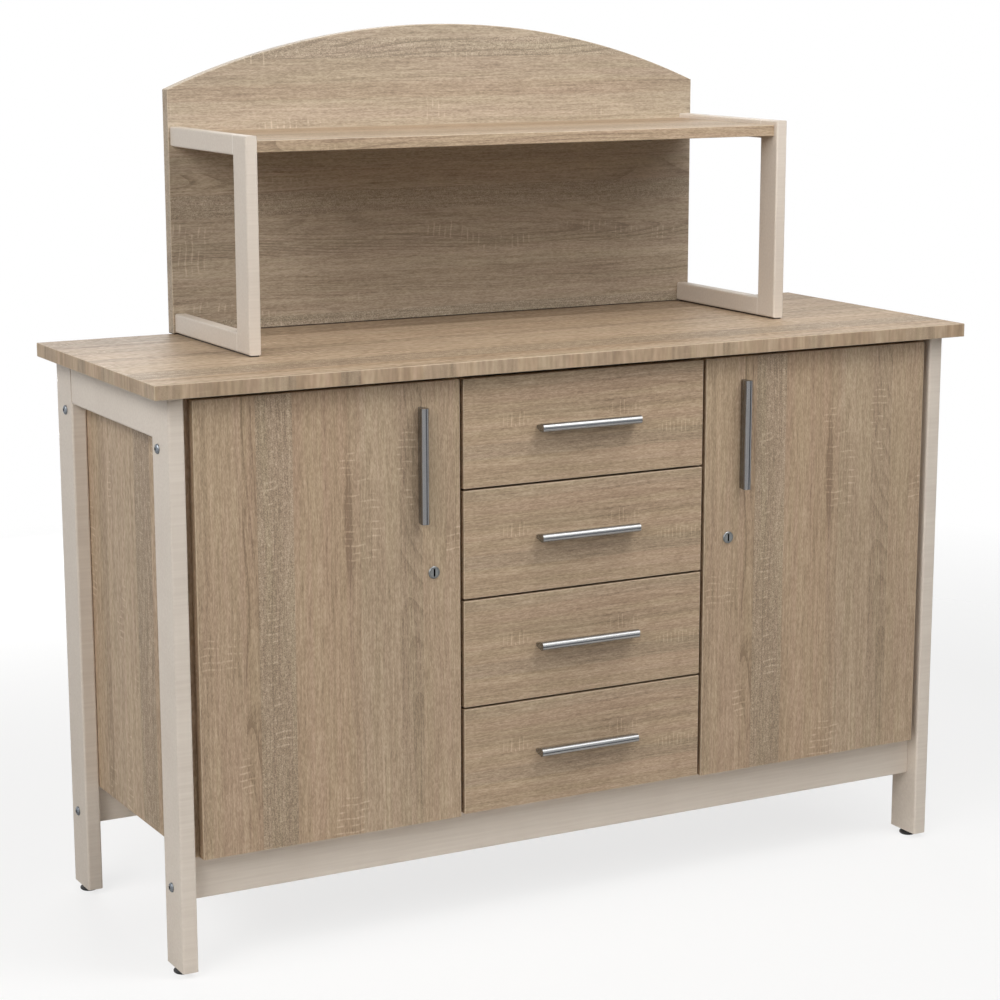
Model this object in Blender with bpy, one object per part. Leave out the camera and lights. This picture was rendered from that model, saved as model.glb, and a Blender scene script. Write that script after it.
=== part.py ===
"""Buffet cabinet with lockable doors, four drawers and an arched hutch.

Metres, Z up. The front faces -Y, the floor is Z = 0 and the cabinet is centred on X = 0.
"""

import math

import bmesh
import bpy
from mathutils import Vector

# Clearances
SEAT = 0.0003            # between faces that touch
RUN = 0.0006             # between a groove and the runner in it
BUMPER_GAP = 0.001       # between a closed front and the carcass edge behind it

# Facets
BAND_STEPS = 2           # across the rounded arris of a board
TUBE_STEPS = 3           # across the rounded corner of a tube
PLATE_STEPS = 4          # across the rounded corner of a hinge plate
EAR_STEPS = 8            # half round at the end of a hinge flange
CAM_STEPS = 10           # half round at the end of a cam
PEG_FACETS = 12
NOSE_STEPS = 8
HOLE_FACETS = 16
FOOT_FACETS = 20
PLUG_FACETS = 24
RING_FACETS = 28
ARCH_STEPS = 40
ROUND_PROFILE = 0.5      # circular bevel
SMOOTH_ANGLE = math.radians(35)

# Worktop
WORKTOP_WIDTH = 1.450
WORKTOP_DEPTH = 0.520
WORKTOP_THICKNESS = 0.022
WORKTOP_HEIGHT = 0.910
SIDE_OVERHANG = 0.028
FRONT_OVERHANG = 0.0225
REAR_OVERHANG = 0.0085
EDGE_ROUND = 0.001       # edge banding's rounded arris on every board

# Steel frame
TUBE_WIDTH = 0.025
TUBE_DEPTH = 0.068
TUBE_WALL = 0.002
TUBE_ROUND = 0.0035
END_PLATE = 0.004
JOINT_WIDTH = 0.004      # shadow gap where the top rail butts against the rear leg
JOINT_DEPTH = 0.0014
RAIL_CLEARANCE = 0.115   # floor to the underside of the lower rails
FRONT_RAIL_SETBACK = 0.0256
REAR_RAIL_SETBACK = 0.018

# Levelling feet
FOOT_HEIGHT = 0.009
FOOT_DIAMETER = 0.029
FOOT_RIM = 0.0043        # height of the pad's upright rim
FOOT_SHOULDER = 0.0174   # diameter where the pad's cone meets the stem
FOOT_CHAMFER = 0.0018
STEM_DIAMETER = 0.008
STEM_LENGTH = 0.040

# Carcass
BOARD = 0.018
BACK_BOARD = 0.008
CARCASS_REAR_INSET = 0.006
SHELF_HEIGHT = 0.520     # floor to the top of a cupboard shelf
SHELF_SETBACK = 0.035
SHELF_PLAY = 0.0008
PEG_DIAMETER = 0.006
PEG_LENGTH = 0.009
PEG_INSET = 0.050

# Doors and drawer fronts
FRONT_BOARD = 0.018
DOOR_REVEAL = 0.0127     # leg to door edge
FRONT_SPLIT = 0.0063     # door edge to drawer edge
FRONT_TOP_GAP = 0.007
DRAWER_FRONT_WIDTH = 0.435
DRAWER_COUNT = 4
DRAWER_GAP = 0.0036
DRAWER_LIFT = 0.003      # lowest drawer front above the doors' lower edge
DRAWER_DROP = 0.001      # top drawer front below the doors' upper edge

# Handles
HANDLE_LENGTH = 0.1787
HANDLE_PROJECTION = 0.0235
HANDLE_NOSE = 0.0135
HANDLE_ROOT = 0.005
HANDLE_GROOVE_WIDTH = 0.0022
HANDLE_GROOVE_DEPTH = 0.0012
HANDLE_GROOVE_DRAFT = 0.0002
DOOR_HANDLE_INSET = 0.0692
DOOR_HANDLE_DROP = 0.1268
DRAWER_HANDLE_RISE = 0.002   # above the middle of a drawer front

# Locks
LOCK_INSET = 0.046
LOCK_DROP = 0.297
ROSETTE_DIAMETER = 0.0195
ROSETTE_PROJECTION = 0.002
BARREL_DIAMETER = 0.0165
PLUG_DIAMETER = 0.0138
KEYWAY_HEIGHT = 0.0124
KEYWAY_WIDTH = 0.0029
KEYWAY_DEPTH = 0.008
CAM_REACH = 0.034
CAM_WIDTH = 0.0148
CAM_THICKNESS = 0.0025
CAM_PLAY = 0.0012
KEEPER_LEG = 0.016
KEEPER_DEPTH = 0.009
KEEPER_HEIGHT = 0.042
KEEPER_SHEET = 0.002
KEEPER_SETBACK = 0.002

# Concealed hinges
HINGE_END_DISTANCE = 0.100
CUP_DIAMETER = 0.035
CUP_DEPTH = 0.0115
CUP_WALL = 0.0012
CUP_EDGE_DISTANCE = 0.0065
CUP_FLANGE_LENGTH = 0.062
CUP_FLANGE_WIDTH = 0.016
CUP_FLANGE_SHEET = 0.0008
LINK_WIDTH = 0.010
LINK_HEIGHT = 0.008
ARM_WIDTH = 0.014
ARM_HEIGHT = 0.011
ARM_LENGTH = 0.062
ARM_SETBACK = 0.010
ARM_SHEET = 0.0015
PLATE_SETBACK = 0.037
PLATE_WIDTH = 0.020
PLATE_LENGTH = 0.050
PLATE_THICKNESS = 0.003
PLATE_ROUND = 0.005

# Drawer boxes
BOX_SIDE = 0.015
BOX_BASE = 0.008
BOX_REAR_GAP = 0.037     # box to the back panel
BOX_HEIGHT = 0.115
BOX_LIFT = 0.018         # box bottom above the lower edge of its front
BOX_PLAY = 0.0015        # box side to partition
RUNNER_THICKNESS = 0.0095
RUNNER_HEIGHT = 0.017
RUNNER_SETBACK = 0.010
RUNNER_REAR_INSET = 0.009
RUNNER_LIFT = 0.048      # runner's underside above the box bottom

# Hutch
HUTCH_WIDTH = 0.993
HUTCH_THICKNESS = 0.022
HUTCH_OVERHANG = 0.0103  # panel's back behind the worktop's rear edge
HUTCH_SIDE_HEIGHT = 0.394
HUTCH_RISE = 0.100
BRACKET_INSET = 0.0035   # panel edge to bracket side
BRACKET_WIDTH = 0.020
BRACKET_HEIGHT = 0.335
BRACKET_REACH = 0.308    # panel's face to the front of the post
POST_DEPTH = 0.050
ARM_TUBE_HEIGHT = 0.031
BRACKET_WALL = 0.0015
BRACKET_ROUND = 0.003
PAD_THICKNESS = 0.002
PAD_INSET = 0.003
HUTCH_SHELF_THICKNESS = 0.018
HUTCH_SHELF_DROP = 0.0075
HUTCH_SHELF_SETBACK = 0.009

# Planes across the width, on the right-hand side
LEG_OUTER = WORKTOP_WIDTH / 2 - SIDE_OVERHANG
LEG_INNER = LEG_OUTER - TUBE_WIDTH
PANEL_OUTER = LEG_INNER - SEAT
PANEL_INNER = PANEL_OUTER - BOARD
DOOR_OUTER = LEG_INNER - DOOR_REVEAL
DRAWER_EDGE = DRAWER_FRONT_WIDTH / 2
DOOR_INNER = DRAWER_EDGE + FRONT_SPLIT
PARTITION_MIDDLE = DRAWER_EDGE + FRONT_SPLIT / 2
PARTITION_INNER = PARTITION_MIDDLE - BOARD / 2
PARTITION_OUTER = PARTITION_MIDDLE + BOARD / 2

# Planes from front to back, centred between the handles and the hutch's back
FRAME_DEPTH = WORKTOP_DEPTH - FRONT_OVERHANG - REAR_OVERHANG
HANDLE_STAND = HANDLE_PROJECTION + SEAT
OVERALL_DEPTH = HANDLE_STAND + FRAME_DEPTH + REAR_OVERHANG + HUTCH_OVERHANG
FRONT_Y = HANDLE_STAND - OVERALL_DEPTH / 2
FRONT_BACK_Y = FRONT_Y + FRONT_BOARD
CARCASS_FRONT_Y = FRONT_BACK_Y + BUMPER_GAP
LEG_REAR_Y = FRONT_Y + FRAME_DEPTH
CARCASS_REAR_Y = LEG_REAR_Y - CARCASS_REAR_INSET
BACK_FACE_Y = CARCASS_REAR_Y - BACK_BOARD
HUTCH_REAR_Y = LEG_REAR_Y + REAR_OVERHANG + HUTCH_OVERHANG
HUTCH_FACE_Y = HUTCH_REAR_Y - HUTCH_THICKNESS

# Planes from the floor up
WORKTOP_UNDER_Z = WORKTOP_HEIGHT - WORKTOP_THICKNESS
UNDER_SEAT_Z = WORKTOP_UNDER_Z - SEAT
RAIL_TOP_Z = RAIL_CLEARANCE + TUBE_DEPTH
CARCASS_BOTTOM_Z = RAIL_TOP_Z + SEAT
CUPBOARD_FLOOR_Z = CARCASS_BOTTOM_Z + BOARD
DOOR_TOP_Z = WORKTOP_UNDER_Z - FRONT_TOP_GAP
LOCK_Z = DOOR_TOP_Z - LOCK_DROP
KEEPER_REAR_Y = CARCASS_FRONT_Y + KEEPER_SETBACK + KEEPER_DEPTH
CAM_FRONT_Y = KEEPER_REAR_Y + CAM_PLAY


def clear_scene():
    for item in list(bpy.data.objects):
        bpy.data.objects.remove(item, do_unlink=True)


def make_material(name, colour, roughness, metallic):
    material = bpy.data.materials.new(name)
    material.use_nodes = True
    shader = material.node_tree.nodes["Principled BSDF"]
    shader.inputs["Base Color"].default_value = (*colour, 1.0)
    shader.inputs["Roughness"].default_value = roughness
    shader.inputs["Metallic"].default_value = metallic
    return material


def add_part(name, shape, material, pivot=(0.0, 0.0, 0.0), parent=None):
    """Turns a shape drawn in place into an object whose origin is its pivot."""
    origin = Vector(pivot)
    bmesh.ops.recalc_face_normals(shape, faces=shape.faces)
    bmesh.ops.translate(shape, verts=shape.verts, vec=-origin)
    mesh = bpy.data.meshes.new(name)
    shape.to_mesh(mesh)
    shape.free()
    mesh.materials.append(material)
    part = bpy.data.objects.new(name, mesh)
    bpy.context.collection.objects.link(part)
    part.location = origin
    if parent:
        part.parent = parent
        part.location = origin - parent.location
    return part


def add_pivot(name, place):
    pivot = bpy.data.objects.new(name, None)
    bpy.context.collection.objects.link(pivot)
    pivot.location = place
    return pivot


def combine(part, shape, operation):
    """Cuts a shape drawn in place out of a part, or joins it on."""
    tool = add_part(part.name + "_" + operation.lower(), shape, part.data.materials[0])
    tool.hide_render = True
    tool.display_type = "WIRE"
    step = part.modifiers.new(operation.lower(), "BOOLEAN")
    step.operation = operation
    step.solver = "EXACT"
    step.object = tool


def round_edges(part, width, segments):
    step = part.modifiers.new("rounded_edges", "BEVEL")
    step.width = width
    step.segments = segments
    step.limit_method = "ANGLE"


def smooth(part):
    part.data.shade_smooth()
    part.data.set_sharp_from_angle(angle=SMOOTH_ANGLE)


def block(low, high):
    shape = bmesh.new()
    bmesh.ops.create_cube(shape, size=1.0)
    for vert in shape.verts:
        for axis in range(3):
            vert.co[axis] = low[axis] if vert.co[axis] < 0 else high[axis]
    return shape


def sided_block(side, near, far, y_low, y_high, z_low, z_high):
    """A block given by its distances from the middle, on the left (-1) or right (1)."""
    edges = sorted((side * near, side * far))
    return block((edges[0], y_low, z_low), (edges[1], y_high, z_high))


def prism(outline, axis, start, end):
    """Extrudes an outline, drawn in the other two axes, along one axis."""
    shape = bmesh.new()
    across = [index for index in range(3) if index != axis]
    ring = []
    for point in outline:
        place = Vector()
        place[axis] = start
        place[across[0]] = point[0]
        place[across[1]] = point[1]
        ring.append(shape.verts.new(place))
    face = shape.faces.new(ring)
    grown = bmesh.ops.extrude_face_region(shape, geom=[face])
    moved = [item for item in grown["geom"] if isinstance(item, bmesh.types.BMVert)]
    shift = Vector()
    shift[axis] = end - start
    bmesh.ops.translate(shape, verts=moved, vec=shift)
    bmesh.ops.recalc_face_normals(shape, faces=shape.faces)
    return shape


def arc(centre, radius, first, last, steps):
    points = []
    for index in range(steps + 1):
        angle = first + (last - first) * index / steps
        points.append((centre[0] + radius * math.cos(angle), centre[1] + radius * math.sin(angle)))
    return points


def rounded_rectangle(centre, width, height, radius, steps):
    points = []
    for quarter in range(4):
        turn = quarter * math.pi / 2
        side = 1 if quarter in (0, 3) else -1
        rise = 1 if quarter in (0, 1) else -1
        corner = (centre[0] + side * (width / 2 - radius), centre[1] + rise * (height / 2 - radius))
        points += arc(corner, radius, turn, turn + math.pi / 2, steps)
    return points


def turned(profile, axis, centre, steps):
    """Spins a profile of (radius, place along the axis) pairs round an axis through a centre."""
    shape = bmesh.new()
    outward = (axis + 1) % 3
    points = []
    for radius, along in profile:
        place = Vector(centre)
        place[axis] = along
        place[outward] += radius
        points.append(shape.verts.new(place))
    edges = [shape.edges.new(pair) for pair in zip(points, points[1:])]
    if profile[0][0] > 0:
        edges.append(shape.edges.new((points[-1], points[0])))
    direction = Vector()
    direction[axis] = 1.0
    bmesh.ops.spin(shape, geom=points + edges, cent=centre, axis=direction, dvec=(0, 0, 0),
                   angle=2 * math.pi, steps=steps, use_merge=True)
    bmesh.ops.remove_doubles(shape, verts=shape.verts, dist=0.00001)
    bmesh.ops.recalc_face_normals(shape, faces=shape.faces)
    return shape


def rod(axis, centre, diameter, start, end, steps):
    return turned([(0, start), (diameter / 2, start), (diameter / 2, end), (0, end)], axis, centre, steps)


def board(name, shape, material, parent=None, pivot=(0.0, 0.0, 0.0)):
    """A faced board with rounded edge banding."""
    part = add_part(name, shape, material, pivot, parent)
    round_edges(part, EDGE_ROUND, BAND_STEPS)
    return part


def side_frame(name, side, paint):
    """Welded inverted U of rectangular tube, hollow, with a drilled plate across each leg's end."""
    top = UNDER_SEAT_Z

    def u_outline(wall, bottom):
        depth = TUBE_DEPTH - wall
        return [
            (FRONT_Y + wall, bottom),
            (FRONT_Y + wall, top - wall),
            (LEG_REAR_Y - wall, top - wall),
            (LEG_REAR_Y - wall, bottom),
            (LEG_REAR_Y - depth, bottom),
            (LEG_REAR_Y - depth, top - depth),
            (FRONT_Y + depth, top - depth),
            (FRONT_Y + depth, bottom),
        ]

    shape = prism(u_outline(0.0, FOOT_HEIGHT), 0, side * LEG_INNER, side * LEG_OUTER)
    arrises = []
    for edge in shape.edges:
        ends = [vert.co for vert in edge.verts]
        along_face = abs(ends[0].x - ends[1].x) < SEAT
        at_floor_end = all(abs(end.z - FOOT_HEIGHT) < SEAT for end in ends)
        if along_face and not at_floor_end:
            arrises.append(edge)
    bmesh.ops.bevel(shape, geom=arrises, offset=TUBE_ROUND, segments=TUBE_STEPS,
                    profile=ROUND_PROFILE, affect="EDGES")
    frame = add_part(name, shape, paint)
    smooth(frame)
    cavity = prism(u_outline(TUBE_WALL, FOOT_HEIGHT + END_PLATE), 0,
                   side * (LEG_INNER + TUBE_WALL), side * (LEG_OUTER - TUBE_WALL))
    combine(frame, cavity, "DIFFERENCE")
    for middle in (FRONT_Y + TUBE_DEPTH / 2, LEG_REAR_Y - TUBE_DEPTH / 2):
        centre = (side * (LEG_INNER + LEG_OUTER) / 2, middle, 0.0)
        hole = rod(2, centre, STEM_DIAMETER + 2 * SEAT, 0.0, FOOT_HEIGHT + 2 * END_PLATE, HOLE_FACETS)
        combine(frame, hole, "DIFFERENCE")
    joint = LEG_REAR_Y - TUBE_DEPTH
    gap = sided_block(side, LEG_OUTER - JOINT_DEPTH, LEG_OUTER + TUBE_WALL, joint - JOINT_WIDTH, joint,
                      top - TUBE_DEPTH, top + TUBE_WALL)
    combine(frame, gap, "DIFFERENCE")


def lower_rail(name, front, paint):
    """Rectangular tube on edge between the legs, under the carcass."""
    centre = (front + TUBE_WIDTH / 2, RAIL_CLEARANCE + TUBE_DEPTH / 2)
    bore_width = TUBE_WIDTH - 2 * TUBE_WALL
    bore_depth = TUBE_DEPTH - 2 * TUBE_WALL
    outer = rounded_rectangle(centre, TUBE_WIDTH, TUBE_DEPTH, TUBE_ROUND, TUBE_STEPS)
    inner = rounded_rectangle(centre, bore_width, bore_depth, TUBE_ROUND - TUBE_WALL, TUBE_STEPS)
    reach = LEG_INNER - SEAT
    rail = add_part(name, prism(outer, 0, -reach, reach), paint)
    smooth(rail)
    combine(rail, prism(inner, 0, -LEG_OUTER, LEG_OUTER), "DIFFERENCE")


def foot(name, side, middle, plastic):
    """Levelling foot: a round pad on a stem that screws into the leg's end plate."""
    radius = FOOT_DIAMETER / 2
    top = FOOT_HEIGHT - SEAT
    centre = (side * (LEG_INNER + LEG_OUTER) / 2, middle, 0.0)
    profile = [
        (0.0, 0.0),
        (radius - FOOT_CHAMFER, 0.0),
        (radius, FOOT_CHAMFER),
        (radius, FOOT_RIM),
        (FOOT_SHOULDER / 2, top),
        (STEM_DIAMETER / 2, top),
        (STEM_DIAMETER / 2, top + STEM_LENGTH),
        (0.0, top + STEM_LENGTH),
    ]
    shape = turned(profile, 2, centre, FOOT_FACETS)
    smooth(add_part(name, shape, plastic, centre))


def carcass(oak):
    """Board box on the lower rails: two sides, two partitions, a floor and an inset back."""
    for word, side in (("left", -1), ("right", 1)):
        panel = board("side_panel_" + word,
                      sided_block(side, PANEL_INNER, PANEL_OUTER, CARCASS_FRONT_Y, CARCASS_REAR_Y,
                                  CARCASS_BOTTOM_Z, UNDER_SEAT_Z), oak)
        partition = board("partition_" + word,
                          sided_block(side, PARTITION_INNER, PARTITION_OUTER, CARCASS_FRONT_Y,
                                      BACK_FACE_Y - SEAT, CUPBOARD_FLOOR_Z + SEAT, UNDER_SEAT_Z), oak)
        peg_z = SHELF_HEIGHT - BOARD - SEAT - PEG_DIAMETER / 2
        for place in (CARCASS_FRONT_Y + SHELF_SETBACK + PEG_INSET, BACK_FACE_Y - PEG_INSET):
            centre = (0.0, place, peg_z)
            roots = ((panel, PANEL_INNER, -1), (partition, PARTITION_OUTER, 1))
            for carrier, face, way in roots:
                inside = side * (face - way * BOARD / 2)
                tip = side * (face + way * PEG_LENGTH)
                combine(carrier, rod(0, centre, PEG_DIAMETER, inside, tip, PEG_FACETS), "UNION")
        board("cupboard_shelf_" + word,
              sided_block(side, PARTITION_OUTER + SHELF_PLAY, PANEL_INNER - SHELF_PLAY,
                          CARCASS_FRONT_Y + SHELF_SETBACK, BACK_FACE_Y - SHELF_PLAY,
                          SHELF_HEIGHT - BOARD, SHELF_HEIGHT), oak)
    reach = PANEL_INNER - SEAT
    board("bottom_panel", block((-reach, CARCASS_FRONT_Y, CARCASS_BOTTOM_Z),
                                (reach, BACK_FACE_Y - SEAT, CUPBOARD_FLOOR_Z)), oak)
    board("back_panel", block((-reach, BACK_FACE_Y, CARCASS_BOTTOM_Z),
                              (reach, CARCASS_REAR_Y, UNDER_SEAT_Z)), oak)


def handle_outline():
    """Bar section: a narrow root on the front that swells to a round nose with a groove along it."""
    nose = HANDLE_NOSE / 2
    root = HANDLE_ROOT / 2
    lip = HANDLE_GROOVE_WIDTH / 2
    middle = HANDLE_PROJECTION - math.sqrt(nose ** 2 - lip ** 2)
    tangent = math.acos(nose / math.hypot(root, middle)) - math.atan2(middle, root)
    side = arc((0.0, middle), nose, tangent, math.acos(lip / nose), NOSE_STEPS)
    half = [(root, 0.0)] + side + [(lip - HANDLE_GROOVE_DRAFT, HANDLE_PROJECTION - HANDLE_GROOVE_DEPTH)]
    return half + [(-across, out) for across, out in reversed(half)]


def door_handle(name, x, parent, aluminium):
    middle = DOOR_TOP_Z - DOOR_HANDLE_DROP
    face = FRONT_Y - SEAT
    outline = [(x + across, face - out) for across, out in handle_outline()]
    shape = prism(outline, 2, middle - HANDLE_LENGTH / 2, middle + HANDLE_LENGTH / 2)
    smooth(add_part(name, shape, aluminium, (x, face, middle), parent))


def drawer_handle(name, z, parent, aluminium):
    face = FRONT_Y - SEAT
    outline = [(face - out, z + across) for across, out in handle_outline()]
    shape = prism(outline, 0, -HANDLE_LENGTH / 2, HANDLE_LENGTH / 2)
    smooth(add_part(name, shape, aluminium, (0.0, face, z), parent))


def hinge_heights():
    return {"lower": CARCASS_BOTTOM_Z + HINGE_END_DISTANCE, "upper": DOOR_TOP_Z - HINGE_END_DISTANCE}


def cup_middle():
    return DOOR_OUTER - CUP_EDGE_DISTANCE - CUP_DIAMETER / 2


def door(word, side, oak, aluminium, steel, dark_steel):
    """Door with its handle, lock and hinge cups, swinging on its front outer edge."""
    axis = add_pivot("door_axis_" + word, (side * DOOR_OUTER, FRONT_Y, CARCASS_BOTTOM_Z))
    lock_x = side * (DOOR_INNER + LOCK_INSET)
    shape = sided_block(side, DOOR_INNER, DOOR_OUTER, FRONT_Y, FRONT_BACK_Y, CARCASS_BOTTOM_Z, DOOR_TOP_Z)
    leaf = board("door_" + word, shape, oak, axis, axis.location)
    behind = FRONT_BACK_Y + BUMPER_GAP
    lock_hole = rod(1, (lock_x, 0.0, LOCK_Z), BARREL_DIAMETER + 2 * SEAT, FRONT_Y - BUMPER_GAP, behind,
                    PLUG_FACETS)
    combine(leaf, lock_hole, "DIFFERENCE")
    for height in hinge_heights().values():
        centre = (side * cup_middle(), 0.0, height)
        pocket = rod(1, centre, CUP_DIAMETER + 2 * SEAT, FRONT_BACK_Y - CUP_DEPTH - SEAT, behind,
                     RING_FACETS)
        combine(leaf, pocket, "DIFFERENCE")
    door_handle("door_handle_" + word, side * (DOOR_INNER + DOOR_HANDLE_INSET), axis, aluminium)
    lock(word, side, lock_x, axis, steel, dark_steel)
    for level, height in hinge_heights().items():
        hinge_cup("hinge_cup_" + word + "_" + level, side, height, axis, steel)
        hinge_arm("hinge_arm_" + word + "_" + level, side, height, steel)


def lock(word, side, x, door_axis, steel, dark_steel):
    """Cam lock: a flanged barrel through the door, a turning plug with its cam, a keeper angle."""
    centre = (x, FRONT_Y, LOCK_Z)
    lip = ROSETTE_DIAMETER / 2
    barrel = BARREL_DIAMETER / 2
    bore = PLUG_DIAMETER / 2 + SEAT
    face = FRONT_Y - ROSETTE_PROJECTION
    barrel_end = CAM_FRONT_Y - SEAT
    profile = [
        (bore, face),
        (lip - ROSETTE_PROJECTION / 2, face),
        (lip, face + ROSETTE_PROJECTION / 2),
        (lip, FRONT_Y - SEAT),
        (barrel, FRONT_Y - SEAT),
        (barrel, barrel_end),
        (bore, barrel_end),
    ]
    smooth(add_part("lock_body_" + word, turned(profile, 1, centre, RING_FACETS), steel, centre,
                    door_axis))

    cam_rear = CAM_FRONT_Y + CAM_THICKNESS
    plug = add_part("lock_cam_" + word,
                    rod(1, centre, PLUG_DIAMETER, face, CAM_FRONT_Y + CAM_THICKNESS / 2, PLUG_FACETS),
                    dark_steel, centre, door_axis)
    half = CAM_WIDTH / 2
    outline = arc((x, LOCK_Z), half, 0.0, math.pi, CAM_STEPS)
    outline += [(x - half, LOCK_Z - CAM_REACH), (x + half, LOCK_Z - CAM_REACH)]
    combine(plug, prism(outline, 1, CAM_FRONT_Y, cam_rear), "UNION")
    keyway = block((x - KEYWAY_WIDTH / 2, face - BUMPER_GAP, LOCK_Z - KEYWAY_HEIGHT / 2),
                   (x + KEYWAY_WIDTH / 2, face + KEYWAY_DEPTH, LOCK_Z + KEYWAY_HEIGHT / 2))
    combine(plug, keyway, "DIFFERENCE")
    smooth(plug)

    near = PARTITION_OUTER + SEAT
    front = KEEPER_REAR_Y - KEEPER_DEPTH
    angle = [
        (side * near, front),
        (side * (near + KEEPER_SHEET), front),
        (side * (near + KEEPER_SHEET), KEEPER_REAR_Y - KEEPER_SHEET),
        (side * (near + KEEPER_LEG), KEEPER_REAR_Y - KEEPER_SHEET),
        (side * (near + KEEPER_LEG), KEEPER_REAR_Y),
        (side * near, KEEPER_REAR_Y),
    ]
    add_part("lock_keeper_" + word,
             prism(angle, 2, LOCK_Z - KEEPER_HEIGHT / 2, LOCK_Z + KEEPER_HEIGHT / 2), steel)


def hinge_cup(name, side, height, door_axis, steel):
    """Pressed hinge cup in the door, with its screw flange and the link that meets the arm."""
    middle = side * cup_middle()
    centre = (middle, 0.0, height)
    rim = CUP_DIAMETER / 2
    floor = FRONT_BACK_Y - CUP_DEPTH
    lip = FRONT_BACK_Y + SEAT + CUP_FLANGE_SHEET
    profile = [
        (0.0, floor),
        (rim, floor),
        (rim, lip),
        (rim - CUP_WALL, lip),
        (rim - CUP_WALL, floor + CUP_WALL),
        (0.0, floor + CUP_WALL),
    ]
    cup = add_part(name, turned(profile, 1, centre, RING_FACETS), steel, centre, door_axis)
    for way in (-1, 1):
        tip = height + way * (CUP_FLANGE_LENGTH - CUP_FLANGE_WIDTH) / 2
        root = height + way * (rim - CUP_WALL / 2)
        half = CUP_FLANGE_WIDTH / 2
        ear = arc((middle, tip), half, 0.0, way * math.pi, EAR_STEPS)
        ear += [(middle - half, root), (middle + half, root)]
        combine(cup, prism(ear, 1, FRONT_BACK_Y + SEAT, lip), "UNION")
    arm_middle = PANEL_INNER - SEAT - PLATE_THICKNESS - ARM_HEIGHT / 2
    link = sided_block(side, arm_middle - LINK_HEIGHT / 2, arm_middle + LINK_HEIGHT / 2,
                       floor + CUP_WALL / 2, CARCASS_FRONT_Y + ARM_SETBACK - SEAT,
                       height - LINK_WIDTH / 2, height + LINK_WIDTH / 2)
    combine(cup, link, "UNION")
    smooth(cup)


def hinge_arm(name, side, height, steel):
    """Hinge arm, a channel open to the side panel, on its winged mounting plate."""
    wall = PANEL_INNER - SEAT
    plate_face = wall - PLATE_THICKNESS
    arm_face = plate_face - ARM_HEIGHT
    front = CARCASS_FRONT_Y + ARM_SETBACK
    middle = CARCASS_FRONT_Y + PLATE_SETBACK
    half = ARM_WIDTH / 2
    plate = rounded_rectangle((middle, height), PLATE_WIDTH, PLATE_LENGTH, PLATE_ROUND, PLATE_STEPS)
    arm = add_part(name, prism(plate, 0, side * plate_face, side * wall), steel)
    channel = [
        (side * arm_face, height - half),
        (side * arm_face, height + half),
        (side * (plate_face + PLATE_THICKNESS / 2), height + half),
        (side * (plate_face + PLATE_THICKNESS / 2), height + half - ARM_SHEET),
        (side * (arm_face + ARM_SHEET), height + half - ARM_SHEET),
        (side * (arm_face + ARM_SHEET), height - half + ARM_SHEET),
        (side * (plate_face + PLATE_THICKNESS / 2), height - half + ARM_SHEET),
        (side * (plate_face + PLATE_THICKNESS / 2), height - half),
    ]
    combine(arm, prism(channel, 1, front, front + ARM_LENGTH), "UNION")
    smooth(arm)


def drawer(number, bottom, height, oak, board_white, aluminium, white_steel):
    """Drawer front, handle and grooved box on a pair of runner strips."""
    middle = bottom + height / 2
    slide = add_pivot("drawer_slide_%d" % number, (0.0, FRONT_Y, middle))
    front = block((-DRAWER_EDGE, FRONT_Y, bottom), (DRAWER_EDGE, FRONT_BACK_Y, bottom + height))
    board("drawer_front_%d" % number, front, oak, slide, slide.location)
    drawer_handle("drawer_handle_%d" % number, middle + DRAWER_HANDLE_RISE, slide, aluminium)

    half = PARTITION_INNER - BOX_PLAY
    box_front = FRONT_BACK_Y + SEAT
    box_bottom = bottom + BOX_LIFT
    box_top = box_bottom + BOX_HEIGHT
    box_rear = BACK_FACE_Y - BOX_REAR_GAP
    box = add_part("drawer_box_%d" % number,
                   block((-half, box_front, box_bottom), (half, box_rear, box_top)),
                   board_white, slide.location, slide)
    inside = block((BOX_SIDE - half, box_front + BOX_SIDE, box_bottom + BOX_BASE),
                   (half - BOX_SIDE, box_rear - BOX_SIDE, box_top + BOX_SIDE))
    combine(box, inside, "DIFFERENCE")
    runner_face = PARTITION_INNER - SEAT
    runner_tip = runner_face - RUNNER_THICKNESS
    runner_bottom = box_bottom + RUNNER_LIFT
    runner_top = runner_bottom + RUNNER_HEIGHT
    runner_front = CARCASS_FRONT_Y + RUNNER_SETBACK
    runner_rear = box_rear - RUNNER_REAR_INSET
    for word, side in (("left", -1), ("right", 1)):
        groove = sided_block(side, runner_tip - RUN, half + BOX_SIDE, box_front + BOX_SIDE / 2,
                             box_rear + BOX_SIDE, runner_bottom - RUN, runner_top + SEAT)
        combine(box, groove, "DIFFERENCE")
        strip = sided_block(side, runner_tip, runner_face, runner_front, runner_rear,
                            runner_bottom, runner_top)
        runner = add_part("drawer_runner_%d_%s" % (number, word), strip, white_steel)
        round_edges(runner, EDGE_ROUND, 1)


def drawers(oak, board_white, aluminium, white_steel):
    bottom = CARCASS_BOTTOM_Z + DRAWER_LIFT
    stack = DOOR_TOP_Z - DRAWER_DROP - bottom
    height = (stack - DRAWER_GAP * (DRAWER_COUNT - 1)) / DRAWER_COUNT
    for place in range(DRAWER_COUNT):
        number = DRAWER_COUNT - place
        start = bottom + place * (height + DRAWER_GAP)
        drawer(number, start, height, oak, board_white, aluminium, white_steel)


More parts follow.
